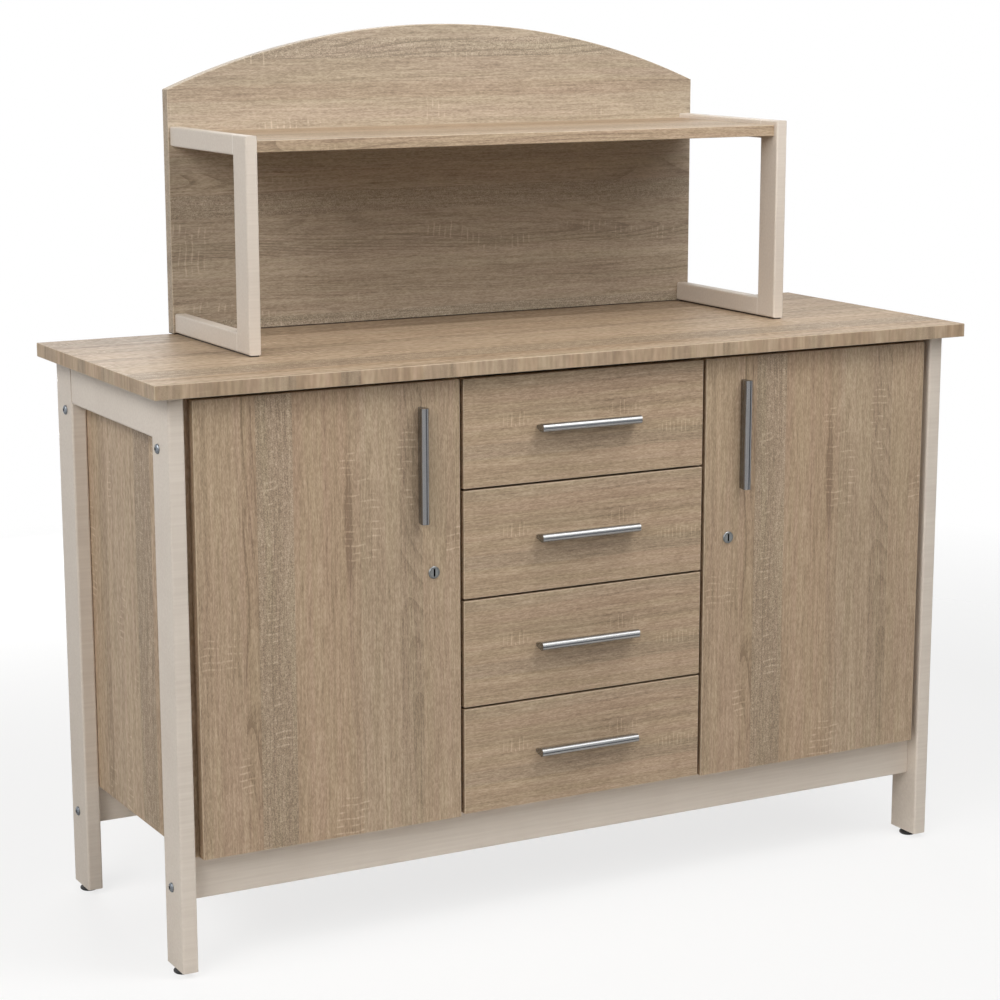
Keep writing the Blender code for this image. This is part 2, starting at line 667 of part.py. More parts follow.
def hutch_panel(oak):
    """Back panel whose top edge is one flat arc."""
    base = WORKTOP_HEIGHT + SEAT
    shoulder = WORKTOP_HEIGHT + HUTCH_SIDE_HEIGHT
    half = HUTCH_WIDTH / 2
    radius = (half * half + HUTCH_RISE * HUTCH_RISE) / (2 * HUTCH_RISE)
    centre = (0.0, shoulder + HUTCH_RISE - radius)
    start = math.asin((radius - HUTCH_RISE) / radius)
    outline = [(-half, base), (half, base)]
    outline += arc(centre, radius, start, math.pi - start, ARCH_STEPS)
    part = add_part("hutch_back_panel", prism(outline, 1, HUTCH_FACE_Y, HUTCH_REAR_Y), oak)
    round_edges(part, EDGE_ROUND, BAND_STEPS)


def hutch_bracket(name, side, paint):
    """Square C of steel tube: an upright post with two arms that reach back to the panel."""
    rear = HUTCH_FACE_Y - SEAT
    front = HUTCH_FACE_Y - BRACKET_REACH
    base = WORKTOP_HEIGHT + SEAT + PAD_THICKNESS
    top = WORKTOP_HEIGHT + BRACKET_HEIGHT
    outer = HUTCH_WIDTH / 2 - BRACKET_INSET
    inner = outer - BRACKET_WIDTH

    def c_outline(wall, back):
        arm = ARM_TUBE_HEIGHT - wall
        return [
            (back, base + wall),
            (front + wall, base + wall),
            (front + wall, top - wall),
            (back, top - wall),
            (back, top - arm),
            (front + POST_DEPTH - wall, top - arm),
            (front + POST_DEPTH - wall, base + arm),
            (back, base + arm),
        ]

    shape = prism(c_outline(0.0, rear), 0, side * inner, side * outer)
    arrises = []
    for edge in shape.edges:
        ends = [vert.co for vert in edge.verts]
        along_face = abs(ends[0].x - ends[1].x) < SEAT
        at_panel_end = all(abs(end.y - rear) < SEAT for end in ends)
        if along_face and not at_panel_end:
            arrises.append(edge)
    bmesh.ops.bevel(shape, geom=arrises, offset=BRACKET_ROUND, segments=TUBE_STEPS,
                    profile=ROUND_PROFILE, affect="EDGES")
    bracket = add_part(name, shape, paint)
    smooth(bracket)
    cavity = prism(c_outline(BRACKET_WALL, rear + BRACKET_WALL), 0,
                   side * (inner + BRACKET_WALL), side * (outer - BRACKET_WALL))
    combine(bracket, cavity, "DIFFERENCE")
    pad = sided_block(side, inner + PAD_INSET, outer - PAD_INSET,
                      front + PAD_INSET, rear - PAD_INSET,
                      WORKTOP_HEIGHT + SEAT, base + BRACKET_WALL / 2)
    combine(bracket, pad, "UNION")


def hutch(oak, paint):
    hutch_panel(oak)
    for word, side in (("left", -1), ("right", 1)):
        hutch_bracket("hutch_bracket_" + word, side, paint)
    reach = HUTCH_WIDTH / 2 - BRACKET_INSET - BRACKET_WIDTH - SEAT
    top = WORKTOP_HEIGHT + BRACKET_HEIGHT - HUTCH_SHELF_DROP
    front = HUTCH_FACE_Y - BRACKET_REACH + HUTCH_SHELF_SETBACK
    board("hutch_shelf", block((-reach, front, top - HUTCH_SHELF_THICKNESS),
                               (reach, HUTCH_FACE_Y - SEAT, top)), oak)


clear_scene()
oak_board = make_material("oak_decor_board", (0.38, 0.29, 0.20), 0.55, 0.0)
white_board = make_material("white_drawer_board", (0.72, 0.70, 0.66), 0.5, 0.0)
frame_paint = make_material("greige_powder_coat", (0.58, 0.51, 0.44), 0.45, 0.0)
handle_alloy = make_material("brushed_aluminium", (0.62, 0.61, 0.59), 0.28, 1.0)
plated_steel = make_material("plated_steel", (0.55, 0.54, 0.52), 0.3, 1.0)
dark_steel_alloy = make_material("lock_steel", (0.30, 0.30, 0.30), 0.35, 1.0)
runner_enamel = make_material("white_runner_enamel", (0.80, 0.79, 0.76), 0.4, 0.0)
foot_plastic = make_material("black_foot_plastic", (0.015, 0.015, 0.016), 0.5, 0.0)

for side_word, side_sign in (("left", -1), ("right", 1)):
    side_frame("side_frame_" + side_word, side_sign, frame_paint)
    foot("foot_front_" + side_word, side_sign, FRONT_Y + TUBE_DEPTH / 2, foot_plastic)
    foot("foot_rear_" + side_word, side_sign, LEG_REAR_Y - TUBE_DEPTH / 2, foot_plastic)
lower_rail("lower_rail_front", FRONT_Y + FRONT_RAIL_SETBACK, frame_paint)
lower_rail("lower_rail_rear", LEG_REAR_Y - REAR_RAIL_SETBACK - TUBE_WIDTH, frame_paint)
worktop_half = WORKTOP_WIDTH / 2
board("worktop", block((-worktop_half, FRONT_Y - FRONT_OVERHANG, WORKTOP_UNDER_Z),
                       (worktop_half, LEG_REAR_Y + REAR_OVERHANG, WORKTOP_HEIGHT)), oak_board)
carcass(oak_board)
for side_word, side_sign in (("left", -1), ("right", 1)):
    door(side_word, side_sign, oak_board, handle_alloy, plated_steel, dark_steel_alloy)
drawers(oak_board, white_board, handle_alloy, runner_enamel)
hutch(oak_board, frame_paint)
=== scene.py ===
"""Looks of the buffet cabinet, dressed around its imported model. Metres, front towards -Y."""

import math

import bmesh
import bpy
from mathutils import Matrix, Vector


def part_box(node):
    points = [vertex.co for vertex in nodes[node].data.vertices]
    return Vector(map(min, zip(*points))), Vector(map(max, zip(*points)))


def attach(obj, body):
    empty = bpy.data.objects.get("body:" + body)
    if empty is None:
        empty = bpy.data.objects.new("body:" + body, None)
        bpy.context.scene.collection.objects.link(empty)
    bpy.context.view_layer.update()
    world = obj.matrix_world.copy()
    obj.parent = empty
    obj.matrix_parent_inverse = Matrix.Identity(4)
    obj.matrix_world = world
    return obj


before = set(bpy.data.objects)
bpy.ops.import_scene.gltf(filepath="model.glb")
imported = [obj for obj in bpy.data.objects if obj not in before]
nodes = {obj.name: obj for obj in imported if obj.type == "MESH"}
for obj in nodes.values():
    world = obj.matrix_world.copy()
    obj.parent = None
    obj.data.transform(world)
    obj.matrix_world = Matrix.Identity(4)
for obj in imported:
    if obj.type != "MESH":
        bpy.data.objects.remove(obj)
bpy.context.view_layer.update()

# Side frames and lower rails.
# Welded inverted U of rectangular steel tube on each side, joined by a tube on edge at the
# front and one at the back. Powder coated after welding, so paint runs over every joint.
LEG_DEPTH = 0.070
LEG_SEAM_SHADE_HALF_WIDTH = 0.0018


def linear(colour):
    """Linear red, green, blue and alpha of an sRGB hex colour."""
    shares = [int(colour[place:place + 2], 16) / 255 for place in (1, 3, 5)]
    return [c / 12.92 if c <= 0.04045 else ((c + 0.055) / 1.055) ** 2.4 for c in shares] + [1.0]


def add_node(material, kind, inputs, **settings):
    """Adds a shader node; an input is a plain value, a socket, or a node's first output."""
    node = material.node_tree.nodes.new("ShaderNode" + kind)
    for name, value in settings.items():
        setattr(node, name, value)
    for name, value in inputs.items():
        if isinstance(value, bpy.types.Node):
            value = value.outputs[0]
        if isinstance(value, bpy.types.NodeSocket):
            material.node_tree.links.new(value, node.inputs[name])
        else:
            node.inputs[name].default_value = value
    return node


def new_material(name):
    """An empty node material and its Principled shader."""
    material = bpy.data.materials.new(name)
    material.use_nodes = True
    return material, material.node_tree.nodes["Principled BSDF"]


def feed(material, shader, **sockets):
    """Links sockets to the shader's inputs, whose names are given with _ for a space."""
    for name, socket in sockets.items():
        material.node_tree.links.new(socket, shader.inputs[name.replace("_", " ")])


def finish_with(material, *names):
    """Gives CAD nodes this material in place of their plain one."""
    for name in names:
        nodes[name].data.materials.clear()
        nodes[name].data.materials.append(material)


def powder_coat(name, seam, pad_top=0.0):
    """Baked polyester powder: satin, slightly cloudy, with a faint orange peel.

    Level sanding marks in the steel show faintly through it. The real peel is about 1.5 mm and
    the marks are under 1 mm; they are drawn at 5 mm and 4 mm, because finer ones can't show.
    A seam line, where one tube is joined by a weld to the face of another, is given as its depth
    (Y), half its width and its colour. That colour is painted light along the joint: darker for a
    painted shade and paler for a painted highlight. Below pad_top the colour is the black rubber
    of a glued pad.
    """
    material, shader = new_material(name)
    place = add_node(material, "TexCoord", {}).outputs["Object"]
    peel = add_node(material, "TexNoise", {"Vector": place, "Scale": 1 / 0.005, "Detail": 2.0})
    cloud = add_node(material, "TexNoise", {"Vector": place, "Scale": 1 / 0.090, "Detail": 3.0})
    sanded = add_node(material, "VectorMath", {0: place, 1: (1 / 0.120, 1 / 0.004, 1 / 0.004)},
                      operation="MULTIPLY")
    lines = add_node(material, "TexNoise", {"Vector": sanded, "Scale": 1.0, "Detail": 1.0})
    uneven = add_node(material, "MixRGB", {"Fac": 0.6, "Color1": cloud.outputs["Fac"],
                                           "Color2": lines.outputs["Fac"]})
    paint = add_node(material, "ValToRGB", {"Fac": uneven})
    paint.color_ramp.elements[0].position = 0.35
    paint.color_ramp.elements[0].color = linear("#D2C6B9")
    paint.color_ramp.elements[1].position = 0.65
    paint.color_ramp.elements[1].color = linear("#DACFC2")
    seam_y, half_width, seam_painted_light_colour = seam
    parts = add_node(material, "SeparateXYZ", {0: place})
    # Along the seam the paint gives way to painted light: painted shade on the legs, painted highlight
    # on the brackets.
    painted_seam_mask = add_node(material, "Math", {0: parts.outputs["Y"], 1: seam_y, 2: half_width},
                      operation="COMPARE")
    colour = add_node(material, "MixRGB", {"Fac": painted_seam_mask, "Color1": paint,
                                           "Color2": linear(seam_painted_light_colour)})
    if pad_top:
        rubber = add_node(material, "Math", {0: parts.outputs["Z"], 1: pad_top},
                          operation="LESS_THAN")
        colour = add_node(material, "MixRGB", {"Fac": rubber, "Color1": colour,
                                               "Color2": linear("#2A2623")})
    bump = add_node(material, "Bump", {"Height": peel.outputs["Fac"], "Strength": 0.12,
                                       "Distance": 0.0004})
    sheen = add_node(material, "MapRange", {"Value": peel.outputs["Fac"], "To Min": 0.40,
                                            "To Max": 0.52})
    feed(material, shader, Base_Color=colour.outputs[0], Roughness=sheen.outputs[0],
         Normal=bump.outputs[0])
    return material


leg_low, leg_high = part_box("side_frame_right")
# The leg seam's colour is a painted shade: a darker band across the top rail where it meets the rear
# leg, where shade falls in the joint.
leg_seam_painted_shade = (leg_high.y - LEG_DEPTH, LEG_SEAM_SHADE_HALF_WIDTH, "#8F857A")
frame_paint = powder_coat("greige_powder_coat_on_steel", leg_seam_painted_shade)
finish_with(frame_paint, "side_frame_left", "side_frame_right")
finish_with(frame_paint, "lower_rail_front", "lower_rail_rear")

# Levelling feet.
# Moulded black polyamide pads on a stem that screws into the plate across each leg's end.
# The mould leaves a fine matt grain.
FOOT_GRAIN = 0.001


def moulded_plastic(name, colour, grain):
    """Matt moulded plastic, whose spark-eroded grain is drawn coarser than life so that it shows."""
    material, shader = new_material(name)
    place = add_node(material, "TexCoord", {}).outputs["Object"]
    speck = add_node(material, "TexNoise", {"Vector": place, "Scale": 1 / grain, "Detail": 2.0})
    shade = add_node(material, "MixRGB", {"Fac": speck.outputs["Fac"], "Color1": linear(colour),
                                          "Color2": linear("#2B2B2C")})
    bump = add_node(material, "Bump", {"Height": speck.outputs["Fac"], "Strength": 0.2,
                                       "Distance": 0.0003})
    shader.inputs["Roughness"].default_value = 0.55
    feed(material, shader, Base_Color=shade.outputs[0], Normal=bump.outputs[0])
    return material


foot_plastic = moulded_plastic("black_moulded_polyamide", "#161617", FOOT_GRAIN)
FEET = [end + "_" + side for end in ("front", "rear") for side in ("left", "right")]
finish_with(foot_plastic, *["foot_" + foot for foot in FEET])

# Frame bolts.
# Zinc-plated M8 button heads with a hexagon socket, two on each leg's outer face: the upper ones
# go through the leg into the carcass, the lower ones into the rails' ends.
SIDES = ((-1, "left"), (1, "right"))
BOLT_DIAMETER = 0.015
BOLT_HEIGHT = 0.0042
SOCKET_WIDTH = 0.005
SOCKET_DEPTH = 0.0025
UPPER_BOLT_Z = 0.8066
LOWER_BOLT_Z = 0.1358
FRONT_BOLT_INSET = 0.0444
REAR_BOLT_INSET = 0.0412

# A head's dome goes up in rings: each is set in by a share of the diameter, and rises by a share
# of the height. Its recess is a hexagon or a cross, which loses a share of its reach between arms.
DOME_RINGS = ((0.0, 0.35), (0.06, 0.30), (0.10, 0.20), (0.12, 0.15))
LEAST_INSET = 0.00001
HEXAGON = 6
CROSS = 4
CROSS_WAIST_LOSS = 0.62
CREASE_ANGLE = 32


def plated_metal(name, colour, highlight, roughness, keyway=None):
    """Bright zinc or nickel plating: a mirror, softened by the clouds of its passivation.

    Over the depths (Y) of a lock's keyway the metal is painted black, a painted shade in the slot.
    """
    material, shader = new_material(name)
    place = add_node(material, "TexCoord", {}).outputs["Object"]
    cloud = add_node(material, "TexNoise", {"Vector": place, "Scale": 1 / 0.003, "Detail": 3.0})
    haze = add_node(material, "MapRange", {"Value": cloud, "To Min": roughness - 0.08,
                                           "To Max": roughness + 0.12})
    tint = add_node(material, "MixRGB", {"Fac": cloud, "Color1": linear(colour),
                                         "Color2": linear(highlight)})
    if keyway:
        depth = add_node(material, "SeparateXYZ", {0: place}).outputs["Y"]
        middle, half = sum(keyway) / 2, (keyway[1] - keyway[0]) / 2
        # Painted shade: the keyway's walls are painted near black.
        keyway_painted_shade = add_node(material, "Math", {0: depth, 1: middle, 2: half}, operation="COMPARE")
        tint = add_node(material, "MixRGB", {"Fac": keyway_painted_shade, "Color1": tint,
                                             "Color2": linear("#0B0B0C")})
    shader.inputs["Metallic"].default_value = 1.0
    feed(material, shader, Base_Color=tint.outputs[0], Roughness=haze.outputs[0])
    return material


def socket_head(shape, diameter, height, recess, depth, points):
    """Adds a domed head on Z = 0, with a recess that has the points of a hexagon or a cross."""
    made = bmesh.ops.create_circle(shape, cap_ends=True, segments=24, radius=diameter / 2)
    verts = list(made["verts"])
    crown = verts[0].link_faces[0]
    if crown.normal.z < 0:
        crown.normal_flip()
    for inset, rise in DOME_RINGS:
        grown = bmesh.ops.inset_region(shape, faces=[crown], depth=rise * height,
                                       thickness=max(inset * diameter, LEAST_INSET),
                                       use_even_offset=True, use_boundary=True)
        verts += [vert for face in grown["faces"] for vert in face.verts]
    for vert in crown.verts:
        turn = math.atan2(vert.co.y, vert.co.x)
        swing = (turn % (2 * math.pi / points)) - math.pi / points
        reach = recess / 2 / math.cos(swing)
        if points == CROSS:
            reach = recess / 2 * (1 - CROSS_WAIST_LOSS * abs(math.sin(2 * turn)))
        vert.co.x = reach * math.cos(turn)
        vert.co.y = reach * math.sin(turn)
    sunk = bmesh.ops.extrude_discrete_faces(shape, faces=[crown])["faces"]
    bmesh.ops.translate(shape, verts=sunk[0].verts, vec=(0, 0, -depth))
    verts += list(sunk[0].verts)
    return list({vert for vert in verts if vert.is_valid})


def add_piece(name, shape, material, body):
    """Turns a shape drawn in place into a smooth-shaded piece that rides on a body."""
    bmesh.ops.recalc_face_normals(shape, faces=shape.faces)
    mesh = bpy.data.meshes.new(name)
    shape.to_mesh(mesh)
    shape.free()
    mesh.materials.append(material)
    mesh.shade_smooth()
    mesh.set_sharp_from_angle(angle=math.radians(CREASE_ANGLE))
    piece = bpy.data.objects.new(name, mesh)
    bpy.context.collection.objects.link(piece)
    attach(piece, body)


def fasteners(name, heads, head, material, body):
    """One piece that holds a head at each (place, direction); head is what socket_head takes."""
    shape = bmesh.new()
    for place, out in heads:
        turn = Vector((0, 0, 1)).rotation_difference(Vector(out)).to_matrix().to_4x4()
        verts = socket_head(shape, *head)
        bmesh.ops.transform(shape, verts=verts, matrix=Matrix.Translation(place) @ turn)
    add_piece(name, shape, material, body)


bolt_zinc = plated_metal("bright_zinc_on_steel", "#6A6F75", "#8C9197", 0.26)
bolt_head = (BOLT_DIAMETER, BOLT_HEIGHT, SOCKET_WIDTH, SOCKET_DEPTH, HEXAGON)
bolt_places = [(leg_low.y + FRONT_BOLT_INSET, UPPER_BOLT_Z),
               (leg_high.y - REAR_BOLT_INSET, UPPER_BOLT_Z)]
for end in ("front", "rear"):
    rail_low, rail_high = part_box("lower_rail_" + end)
    bolt_places.append(((rail_low.y + rail_high.y) / 2, LOWER_BOLT_Z))
for side, word in SIDES:
    heads = [((side * leg_high.x, y, z), (side, 0, 0)) for y, z in bolt_places]
    fasteners("frame_bolts_" + word, heads, bolt_head, bolt_zinc, "cabinet")

# Carcass boards.
# Particle board faced with melamine in a sawn oak decor: two sides and two partitions with
# upright grain, a floor and two loose shelves with grain along the cabinet, a thin back.
X, Z = 0, 2
STRIP_WIDTH = 0.032


def sawn_oak(name, along, shift=(0.0, 0.0, 0.0), repeat=None, strips=None, marks_at=(), wedges_at=(),
             striped_edges=False, warmth=(1.06, 0.95, 0.0), tones=(-0.07, 0.09), coarse=(1.0, 1.0),
             saw_pitch=0.011, foot_z=0.0):
    """Printed sawn oak under matt melamine, its grain along X or Z.

    Strips up to a hand's width, each with its own tone, some brushed into short fibres and some
    mottled. Growth lines run through a few, and groups of pale saw marks cross the grain. The
    fibres are drawn wider than life so that they show.

    shift picks the place on the sheet. A repeat (axis, start, pitch) prints the same sheet on every
    board of a row, and strips then lists that sheet's strips. marks_at lists groups of saw marks,
    and wedges_at dark slivers, as X, Z and half widths in X and Z. striped_edges turns the print
    across the edges. warmth is the saturation of plain and of mottled strips, and a turn of the hue.
    tones are added for the darkest and the palest strip. coarse widens and lengthens the grain.
    saw_pitch is the distance between saw marks. Below foot_z the board is painted dark and has no
    print: a painted shadow line where it meets the surface it stands on.
    """
    material, shader = new_material(name)
    coordinates = add_node(material, "TexCoord", {})
    facing = add_node(material, "SeparateXYZ", {0: coordinates.outputs["Normal"]})
    place = coordinates.outputs["Object"]
    if repeat:
        axis, start, pitch = repeat
        parts = add_node(material, "SeparateXYZ", {0: place})
        axes = {0: parts.outputs[0], 1: parts.outputs[1], 2: parts.outputs[2]}
        axes[axis] = add_node(material, "Math", {0: axes[axis], 1: start + pitch, 2: start},
                              operation="WRAP")
        place = add_node(material, "CombineXYZ", axes).outputs[0]
    if striped_edges:
        parts = add_node(material, "SeparateXYZ", {0: place})
        length = add_node(material, "Math", {0: parts.outputs[0], 1: parts.outputs[1]}, operation="ADD")
        banding = add_node(material, "CombineXYZ", {0: parts.outputs[2], 1: length})
        flat = add_node(material, "Math", {0: facing.outputs[2]}, operation="ABSOLUTE")
        on_edge = add_node(material, "Math", {0: flat, 1: 0.5}, operation="LESS_THAN")
        place = add_node(material, "Mix", {0: on_edge, 4: place, 5: banding},
                         data_type="VECTOR").outputs[1]

    # The grain wanders a little over a forearm's length and shivers over a thumb's.
    sheet = add_node(material, "VectorMath", {0: place, 1: shift}, operation="ADD")
    courses = [sheet]
    for across_mm, along_mm, lean in ((130, 420, 0.016), (5, 9, 0.0050)):
        scale = [1000 / across_mm] * 3
        scale[along] = 1000 / along_mm
        sway = [lean] * 3
        sway[along] = 0.0
        stretched = add_node(material, "VectorMath", {0: courses[-1], 1: scale}, operation="MULTIPLY")
        wander = add_node(material, "TexNoise", {"Vector": stretched, "Scale": 1.0, "Detail": 1.0})
        swayed = add_node(material, "VectorMath", {0: wander.outputs["Color"], 1: sway,
                                                   2: courses[-1]}, operation="MULTIPLY_ADD")
        courses.append(swayed)

    # Each layer's millimetres across and along the grain, its detail, and its course: 1 only
    # wanders and 2 shivers as well.
    wide, long = coarse
    grain = {}
    for layer, across_mm, along_mm, detail, course in (
            ("broad", 110, 900, 1.0, 1), ("streaks", 4.5 * wide, 420, 1.0, 1),
            ("fibres", 1.3 * wide, 9 * long, 0.0, 2), ("lines", 2.2 * wide, 40 * long, 0.0, 1),
            ("mottle", 1.5, 2.0, 0.0, 2), ("figure", 70, 900, 0.0, 1), ("growth", 60, 330, 0.0, 1),
            ("sawn", 46, 140, 0.0, 1), ("kept", 24, 8, 0.0, 1), ("beat", 24, 240, 0.0, 1),
            ("tint", 11, 260, 1.0, 1)):
        scale = [1000 / across_mm] * 3
        scale[along] = 1000 / along_mm
        stretched = add_node(material, "VectorMath", {0: courses[course], 1: scale},
                             operation="MULTIPLY")
        grain[layer] = add_node(material, "TexNoise", {"Vector": stretched, "Scale": 1.0,
                                                       "Detail": detail})

    # Each strip's own shares: red for its pale tone, green for mottling, blue for growth lines.
    parts = add_node(material, "SeparateXYZ", {0: sheet})
    sides = [parts.outputs[axis] for axis in range(3) if axis != along]
    breadth = add_node(material, "Math", {0: sides[0], 1: sides[1]}, operation="ADD")
    cells = add_node(material, "TexVoronoi", {"W": breadth, "Scale": 1 / STRIP_WIDTH},
                     voronoi_dimensions="1D").outputs["Color"]
    if strips:
        share = add_node(material, "MapRange", {"Value": axes[axis], "From Min": start,
                                                "From Max": start + 1.0})
        chart = add_node(material, "ValToRGB", {"Fac": share})
        chart.color_ramp.interpolation = "CONSTANT"
        chart.color_ramp.elements.remove(chart.color_ramp.elements[1])
        chart.color_ramp.elements[0].color = (*strips[0][1:], 1.0)
        for edge_mm, *shares in strips[1:]:
            chart.color_ramp.elements.new(edge_mm / 1000).color = (*shares, 1.0)
        cells = chart
    strip = add_node(material, "SeparateColor", {0: cells})
    mottled = add_node(material, "MapRange", {"Value": strip.outputs[1], "From Min": 0.68,
                                              "From Max": 0.76})
    speckle = add_node(material, "Math", {0: grain["mottle"], 1: 0.5}, operation="SUBTRACT")
    speckle = add_node(material, "Math", {0: speckle, 1: mottled}, operation="MULTIPLY")
    fibres = add_node(material, "MapRange", {"Value": grain["fibres"], "From Min": 0.30,
                                             "From Max": 0.70, "To Min": -0.5, "To Max": 0.5})

    # Growth lines are the contours of a slow figure, dark on one side and fading on the other.
    rings = add_node(material, "Math", {0: grain["figure"], 1: 26.0}, operation="MULTIPLY")
    rings = add_node(material, "Math", {0: rings}, operation="FRACT")
    rings = add_node(material, "MapRange", {"Value": rings, "From Min": 0.55, "From Max": 0.95})
    figured = add_node(material, "MapRange", {"Value": strip.outputs[2], "From Min": 0.60,
                                              "From Max": 0.75})
    grown_in = add_node(material, "MapRange", {"Value": grain["growth"], "From Min": 0.32,
                                               "From Max": 0.48})
    rings = add_node(material, "Math", {0: rings, 1: figured}, operation="MULTIPLY")
    rings = add_node(material, "Math", {0: rings, 1: grown_in}, operation="MULTIPLY")

    # Saw marks stand in groups, broken where the brush took them off. A listed group or sliver is
    # an ellipse that fades out at its rim and goes through the board's whole depth.
    rows = add_node(material, "Math", {0: parts.outputs[along], 1: 1 / saw_pitch}, operation="MULTIPLY")
    rows = add_node(material, "Math", {0: grain["beat"], 1: 0.6, 2: rows}, operation="MULTIPLY_ADD")
    saw = add_node(material, "Math", {0: rows, 1: 0.5}, operation="PINGPONG")
    saw = add_node(material, "MapRange", {"Value": saw, "From Min": 0.35, "From Max": 0.42})
    group = add_node(material, "MapRange", {"Value": grain["sawn"], "From Min": 0.66, "From Max": 0.72})
    patches = []
    for x, z, half_x, half_z in (*marks_at, *wedges_at):
        offset = add_node(material, "VectorMath", {0: place, 1: (x, 0.0, z)}, operation="SUBTRACT")
        offset = add_node(material, "VectorMath", {0: offset, 1: (half_x, 10.0, half_z)},
                          operation="DIVIDE")
        reach = add_node(material, "VectorMath", {0: offset}, operation="LENGTH").outputs["Value"]
        patch = add_node(material, "MapRange", {"Value": reach, "From Min": 1.1, "From Max": 0.7})
        patches.append(patch)
    for patch in patches[:len(marks_at)]:
        group = add_node(material, "Math", {0: group, 1: patch}, operation="MAXIMUM")
    kept = add_node(material, "MapRange", {"Value": grain["kept"], "From Min": 0.40, "From Max": 0.54})
    combed = add_node(material, "MapRange", {"Value": grain["streaks"], "From Min": 0.30,
                                             "From Max": 0.46})
    for share in (group, kept, combed):
        saw = add_node(material, "Math", {0: saw, 1: share}, operation="MULTIPLY")
    if striped_edges:
        fine = add_node(material, "MapRange", {"Value": on_edge, "To Min": 1.0, "To Max": 0.25})
        fibres, speckle, saw, rings = [
            add_node(material, "Math", {0: layer, 1: fine}, operation="MULTIPLY")
            for layer in (fibres, speckle, saw, rings)]

    # The layers add up to one tone, which picks the ink.
    tone = add_node(material, "MapRange", {"Value": strip.outputs[0], "To Min": tones[0],
                                           "To Max": tones[1]})
    if striped_edges:
        even = add_node(material, "MapRange", {"Value": on_edge, "To Min": 1.0, "To Max": 0.35})
        tone = add_node(material, "Math", {0: tone, 1: even}, operation="MULTIPLY")
    layers = [(grain["broad"], 0.18), (grain["streaks"], 0.24), (fibres, 0.17), (grain["lines"], 0.26),
              (speckle, 0.55), (mottled, -0.04), (rings, -0.17), (saw, 0.20), (group, -0.03)]
    layers += [(wedge, -0.20) for wedge in patches[len(marks_at):]]
    for layer, weight in layers:
        tone = add_node(material, "Math", {0: layer, 1: weight, 2: tone}, operation="MULTIPLY_ADD")

    ink = add_node(material, "ValToRGB", {"Fac": tone})
    ink.color_ramp.elements[0].position = 0.14
    ink.color_ramp.elements[0].color = linear("#87725C")
    ink.color_ramp.elements[1].position = 0.99
    ink.color_ramp.elements[1].color = linear("#E9D9C5")
    for position, colour in ((0.36, "#AB947B"), (0.54, "#C0AA91"), (0.72, "#D2BDA4")):
        ink.color_ramp.elements.new(position).color = linear(colour)
    rich_plain, rich_mottled, hue_turn = warmth
    rich = add_node(material, "MapRange", {"Value": strip.outputs[1], "To Min": rich_plain,
                                           "To Max": rich_mottled})
    leaning = add_node(material, "MapRange", {"Value": strip.outputs[1], "To Min": 0.499 + hue_turn,
                                              "To Max": 0.505 + hue_turn})
    turn = add_node(material, "MapRange", {"Value": grain["tint"], "From Min": 0.3, "From Max": 0.7,
                                           "To Min": -0.005, "To Max": 0.005})
    turn = add_node(material, "Math", {0: leaning, 1: turn}, operation="ADD")
    oak = add_node(material, "HueSaturation", {"Color": ink, "Hue": turn, "Saturation": rich})

    # Edge banding is trimmed to a small round, and its arris is painted pale: a painted highlight
    # where the round catches light.
    slants = [add_node(material, "Math", {0: facing.outputs[axis]}, operation="ABSOLUTE")
              for axis in range(3)]
    flattest = add_node(material, "Math", {0: slants[0], 1: slants[1]}, operation="MAXIMUM")
    flattest = add_node(material, "Math", {0: flattest, 1: slants[2]}, operation="MAXIMUM")
    arris = add_node(material, "Math", {0: flattest, 1: 0.96}, operation="LESS_THAN")
    arris_painted_highlight = add_node(material, "Math", {0: arris, 1: 0.35}, operation="MULTIPLY")
    oak = add_node(material, "MixRGB", {"Fac": arris_painted_highlight, "Color1": oak, "Color2": linear("#DCCBB2")})

    # Painted shadow: below foot_z the board is painted dark and unprinted, where it meets the worktop.
    if foot_z:
        height = add_node(material, "SeparateXYZ", {0: coordinates.outputs["Object"]}).outputs["Z"]
        painted_shadow_line = add_node(material, "Math", {0: height, 1: foot_z}, operation="LESS_THAN")
        oak = add_node(material, "MixRGB", {"Fac": painted_shadow_line, "Color1": oak, "Color2": linear("#40352A")})

    bump = add_node(material, "Bump", {"Height": fibres, "Strength": 0.10, "Distance": 0.0003})
    matt = add_node(material, "MapRange", {"Value": fibres, "From Min": -0.5, "From Max": 0.5,
                                           "To Min": 0.60, "To Max": 0.50})
    feed(material, shader, Base_Color=oak.outputs[0], Roughness=matt.outputs[0], Normal=bump.outputs[0])
    return material


oak_upright = sawn_oak("sawn_oak_melamine_upright", Z, (0.35, 1.27, 0.0), tones=(-0.06, 0.16),
                       coarse=(1.8, 1.2))
oak_level = sawn_oak("sawn_oak_melamine_level", X, (0.2, 0.4, 0.6))
for word in ("left", "right"):
    finish_with(oak_upright, "side_panel_" + word, "partition_" + word)
    finish_with(oak_level, "cupboard_shelf_" + word)
finish_with(oak_level, "bottom_panel")
finish_with(oak_upright, "back_panel")

# Shelf-peg sleeves and back screws.
# Black plastic sleeves line the peg holes, 32 mm apart in two rows on each cupboard side, and
# cross-head screws hold the thin back to the partitions and the floor.
SLEEVE_PITCH = 0.032
SLEEVE_STEPS = (-4, -3, -2, -1, 1, 2, 3, 4)
PEG_DROP = 0.0033
FRONT_ROW_INSET = 0.0500
REAR_ROW_INSET = 0.0492
SHELF_PLAY = 0.0008
LOWEST_SCREW_Z = 0.26
UPRIGHT_SCREW_PITCH = 0.145
FIRST_SCREW_X = -0.60
LEVEL_SCREW_PITCH = 0.150
LEVEL_SCREW_RISE = 0.009

